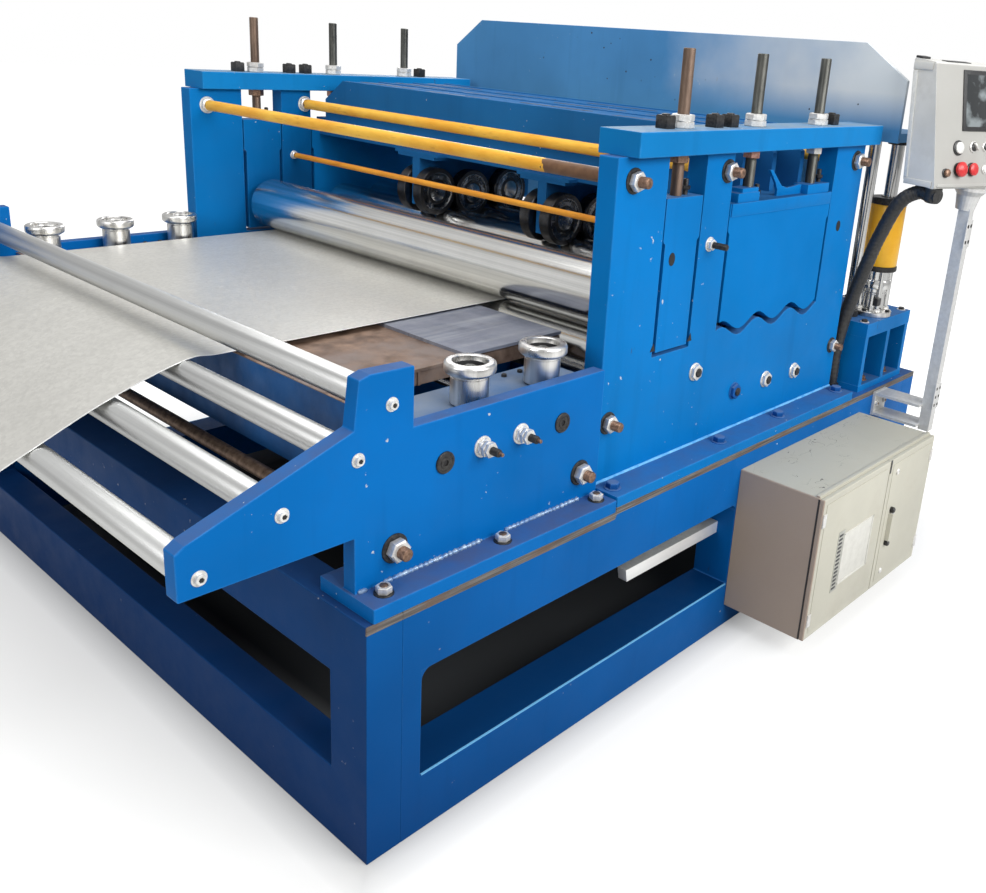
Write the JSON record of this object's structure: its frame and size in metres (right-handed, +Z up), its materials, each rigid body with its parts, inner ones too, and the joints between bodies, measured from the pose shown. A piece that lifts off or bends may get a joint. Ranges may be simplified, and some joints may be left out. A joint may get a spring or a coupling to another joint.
{
  "type": "shearing machine",
  "caption": "Sheet shearing machine: entry guide with rollers, roller leveller between slotted housings and a hydraulic shear, on one welded base frame with cabinet and control pendant.",
  "frame": {"origin": "on the floor under the middle of the infeed end frame's bottom member", "axes": "+X along the feed towards the shear, +Z up, -Y towards the operator's side with the cabinet and the pendant"},
  "size_m": [3.9024, 3.3106, 2.343],
  "materials": {
    "blue_paint": "blue machine enamel, chipped at edges and bolts",
    "yellow_paint": "orange-yellow enamel",
    "black_paint": "black oiled steel",
    "roller_steel": "turned and lightly worn steel",
    "roll_chrome": "ground hard chrome",
    "galvanised_sheet": "dull zinc-coated sheet",
    "raw_steel": "bare steel with brown rust film",
    "fastener_steel": "bolts, nuts and studs, some rusted",
    "cabinet_grey": "warm grey textured powder coat",
    "pendant_grey": "light grey powder coat",
    "black_rubber": "black ribbed conduit",
    "red_plastic": "red stop button",
    "dark_plastic": "dark buttons and bezels",
    "white_plastic": "white button and label plates",
    "screen_glass": "dark operator screen"
  },
  "bodies": {
    "machine_frame": {"base_side_near": "blue_paint", "base_side_far": "blue_paint", "base_end_infeed": "blue_paint", "base_end_outfeed": "blue_paint", "base_cross_beam": "blue_paint", "infeed_side_near": "blue_paint", "infeed_side_far": "blue_paint", "infeed_tie_front": "raw_steel", "infeed_tie_rear": "raw_steel", "guide_bar_front": "roll_chrome", "guide_bar_rear": "roll_chrome", "entry_table": "raw_steel", "sheet_strip": "galvanised_sheet", "tie_rod_front": "yellow_paint", "tie_rod_middle": "yellow_paint", "tie_rod_thin": "yellow_paint", "tie_rod_rear": "yellow_paint", "housing_near": "blue_paint", "housing_far": "blue_paint", "cap_bar_near": "blue_paint", "cap_bar_far": "blue_paint", "shear_pedestal_near": "blue_paint", "shear_pedestal_far": "blue_paint", "shear_cylinder_near": "yellow_paint", "shear_cylinder_far": "yellow_paint", "lower_blade_beam": "blue_paint", "cabinet_body": "cabinet_grey", "pendant_post": "pendant_grey", "pendant_box": "pendant_grey", "pendant_conduit": "black_rubber"},
    "entry_roller_1": {"entry_roller_1": "roller_steel"},
    "entry_roller_2": {"entry_roller_2": "roller_steel"},
    "entry_roller_3": {"entry_roller_3": "roller_steel"},
    "holddown_roller": {"holddown_roller": "roller_steel"},
    "near_guide": {"guide_carrier_near": "blue_paint"},
    "far_guide": {"guide_carrier_far": "blue_paint"},
    "guide_roller_near_1": {"guide_roller_near_1": "roller_steel"},
    "guide_roller_near_2": {"guide_roller_near_2": "roller_steel"},
    "guide_roller_far_1": {"guide_roller_far_1": "roller_steel"},
    "guide_roller_far_2": {"guide_roller_far_2": "roller_steel"},
    "guide_roller_far_3": {"guide_roller_far_3": "roller_steel"},
    "pinch_chocks": {"pinch_chock_near": "blue_paint", "pinch_chock_far": "blue_paint"},
    "upper_pinch_roll": {"upper_pinch_roll": "roll_chrome"},
    "lower_pinch_roll": {"lower_pinch_roll": "roll_chrome"},
    "upper_bank": {"upper_bank": "blue_paint"},
    "upper_work_roll_1": {"upper_work_roll_1": "roll_chrome"},
    "upper_work_roll_2": {"upper_work_roll_2": "roll_chrome"},
    "upper_work_roll_3": {"upper_work_roll_3": "roll_chrome"},
    "lower_work_roll_1": {"lower_work_roll_1": "roll_chrome"},
    "lower_work_roll_2": {"lower_work_roll_2": "roll_chrome"},
    "backup_roller_1": {"backup_roller_1": "black_paint"},
    "backup_roller_2": {"backup_roller_2": "black_paint"},
    "shear_beam": {"shear_beam": "blue_paint"},
    "left_door": {"cabinet_door_left": "cabinet_grey"},
    "right_door": {"cabinet_door_right": "cabinet_grey"},
    "backup_roller_3": {"backup_roller_3": "black_paint"},
    "backup_roller_4": {"backup_roller_4": "black_paint"},
    "backup_roller_5": {"backup_roller_5": "black_paint"},
    "backup_roller_6": {"backup_roller_6": "black_paint"}
  },
  "joints": [
    {"name": "entry_roller_1_spin", "type": "hinge", "parent": "machine_frame", "child": "entry_roller_1", "pos_m": [-0.454, 0, 1.039], "axis": [0, 1, 0], "continuous": true},
    {"name": "entry_roller_2_spin", "type": "hinge", "parent": "machine_frame", "child": "entry_roller_2", "pos_m": [-0.237, 0, 1.126], "axis": [0, 1, 0], "continuous": true},
    {"name": "entry_roller_3_spin", "type": "hinge", "parent": "machine_frame", "child": "entry_roller_3", "pos_m": [-0.014, 0, 1.208], "axis": [0, 1, 0], "continuous": true},
    {"name": "holddown_roller_spin", "type": "hinge", "parent": "machine_frame", "child": "holddown_roller", "pos_m": [0.093, 0, 1.336], "axis": [0, 1, 0], "continuous": true},
    {"name": "near_guide_slide", "type": "slide", "parent": "machine_frame", "child": "near_guide", "axis": [0, 1, 0], "range_m": [0, 0.15]},
    {"name": "far_guide_slide", "type": "slide", "parent": "machine_frame", "child": "far_guide", "axis": [0, -1, 0], "range_m": [0, 0.03]},
    {"name": "guide_roller_near_1_spin", "type": "hinge", "parent": "near_guide", "child": "guide_roller_near_1", "pos_m": [0.47, -1.25, 1.22], "axis": [0, 0, 1], "continuous": true},
    {"name": "guide_roller_near_2_spin", "type": "hinge", "parent": "near_guide", "child": "guide_roller_near_2", "pos_m": [0.78, -1.25, 1.22], "axis": [0, 0, 1], "continuous": true},
    {"name": "guide_roller_far_1_spin", "type": "hinge", "parent": "far_guide", "child": "guide_roller_far_1", "pos_m": [0.275, 1.25, 1.22], "axis": [0, 0, 1], "continuous": true},
    {"name": "guide_roller_far_2_spin", "type": "hinge", "parent": "far_guide", "child": "guide_roller_far_2", "pos_m": [0.58, 1.25, 1.22], "axis": [0, 0, 1], "continuous": true},
    {"name": "guide_roller_far_3_spin", "type": "hinge", "parent": "far_guide", "child": "guide_roller_far_3", "pos_m": [0.885, 1.25, 1.22], "axis": [0, 0, 1], "continuous": true},
    {"name": "pinch_lift", "type": "slide", "parent": "machine_frame", "child": "pinch_chocks", "axis": [0, 0, 1], "range_m": [0, 0.04]},
    {"name": "upper_pinch_spin", "type": "hinge", "parent": "pinch_chocks", "child": "upper_pinch_roll", "pos_m": [1.36, 0, 1.3755], "axis": [0, 1, 0], "continuous": true},
    {"name": "lower_pinch_spin", "type": "hinge", "parent": "machine_frame", "child": "lower_pinch_roll", "pos_m": [1.36, 0, 1.1235], "axis": [0, 1, 0], "continuous": true},
    {"name": "bank_lift", "type": "slide", "parent": "machine_frame", "child": "upper_bank", "axis": [0, 0, 1], "range_m": [0, 0.04]},
    {"name": "upper_work_1_spin", "type": "hinge", "parent": "upper_bank", "child": "upper_work_roll_1", "pos_m": [1.793, 0, 1.3555], "axis": [0, 1, 0], "continuous": true},
    {"name": "upper_work_2_spin", "type": "hinge", "parent": "upper_bank", "child": "upper_work_roll_2", "pos_m": [2.048, 0, 1.3555], "axis": [0, 1, 0], "continuous": true},
    {"name": "upper_work_3_spin", "type": "hinge", "parent": "upper_bank", "child": "upper_work_roll_3", "pos_m": [2.303, 0, 1.3555], "axis": [0, 1, 0], "continuous": true},
    {"name": "lower_work_1_spin", "type": "hinge", "parent": "machine_frame", "child": "lower_work_roll_1", "pos_m": [1.9205, 0, 1.1435], "axis": [0, 1, 0], "continuous": true},
    {"name": "lower_work_2_spin", "type": "hinge", "parent": "machine_frame", "child": "lower_work_roll_2", "pos_m": [2.1755, 0, 1.1435], "axis": [0, 1, 0], "continuous": true},
    {"name": "backup_1_spin", "type": "hinge", "parent": "upper_bank", "child": "backup_roller_1", "pos_m": [1.695, -0.41, 1.54236], "axis": [0, 1, 0], "continuous": true},
    {"name": "backup_2_spin", "type": "hinge", "parent": "upper_bank", "child": "backup_roller_2", "pos_m": [1.695, 0.41, 1.54236], "axis": [0, 1, 0], "continuous": true},
    {"name": "backup_3_spin", "type": "hinge", "parent": "upper_bank", "child": "backup_roller_3", "pos_m": [1.9205, -0.41, 1.52362], "axis": [0, 1, 0], "continuous": true},
    {"name": "backup_4_spin", "type": "hinge", "parent": "upper_bank", "child": "backup_roller_4", "pos_m": [1.9205, 0.41, 1.52362], "axis": [0, 1, 0], "continuous": true},
    {"name": "backup_5_spin", "type": "hinge", "parent": "upper_bank", "child": "backup_roller_5", "pos_m": [2.1755, -0.41, 1.52362], "axis": [0, 1, 0], "continuous": true},
    {"name": "backup_6_spin", "type": "hinge", "parent": "upper_bank", "child": "backup_roller_6", "pos_m": [2.1755, 0.41, 1.52362], "axis": [0, 1, 0], "continuous": true},
    {"name": "shear_stroke", "type": "slide", "parent": "machine_frame", "child": "shear_beam", "axis": [0, 0, 1], "range_m": [-0.095, 0]},
    {"name": "left_door_swing", "type": "hinge", "parent": "machine_frame", "child": "left_door", "pos_m": [1.74, -1.8086, 0.405], "axis": [0, 0, 1], "range_deg": [-110, 0]},
    {"name": "right_door_swing", "type": "hinge", "parent": "machine_frame", "child": "right_door", "pos_m": [2.76, -1.8086, 0.405], "axis": [0, 0, 1], "range_deg": [0, 110]}
  ],
  "couplings": [
    {"joint": "upper_pinch_spin", "follows": "lower_pinch_spin", "ratio": -1},
    {"joint": "upper_work_1_spin", "follows": "lower_pinch_spin", "ratio": -1.2},
    {"joint": "upper_work_2_spin", "follows": "lower_pinch_spin", "ratio": -1.2},
    {"joint": "upper_work_3_spin", "follows": "lower_pinch_spin", "ratio": -1.2},
    {"joint": "lower_work_1_spin", "follows": "lower_pinch_spin", "ratio": 1.2},
    {"joint": "lower_work_2_spin", "follows": "lower_pinch_spin", "ratio": 1.2},
    {"joint": "backup_1_spin", "follows": "lower_pinch_spin", "ratio": 1.0909},
    {"joint": "backup_2_spin", "follows": "lower_pinch_spin", "ratio": 1.0909},
    {"joint": "backup_3_spin", "follows": "lower_pinch_spin", "ratio": 1.0909},
    {"joint": "backup_4_spin", "follows": "lower_pinch_spin", "ratio": 1.0909},
    {"joint": "backup_5_spin", "follows": "lower_pinch_spin", "ratio": 1.0909},
    {"joint": "backup_6_spin", "follows": "lower_pinch_spin", "ratio": 1.0909}
  ]
}
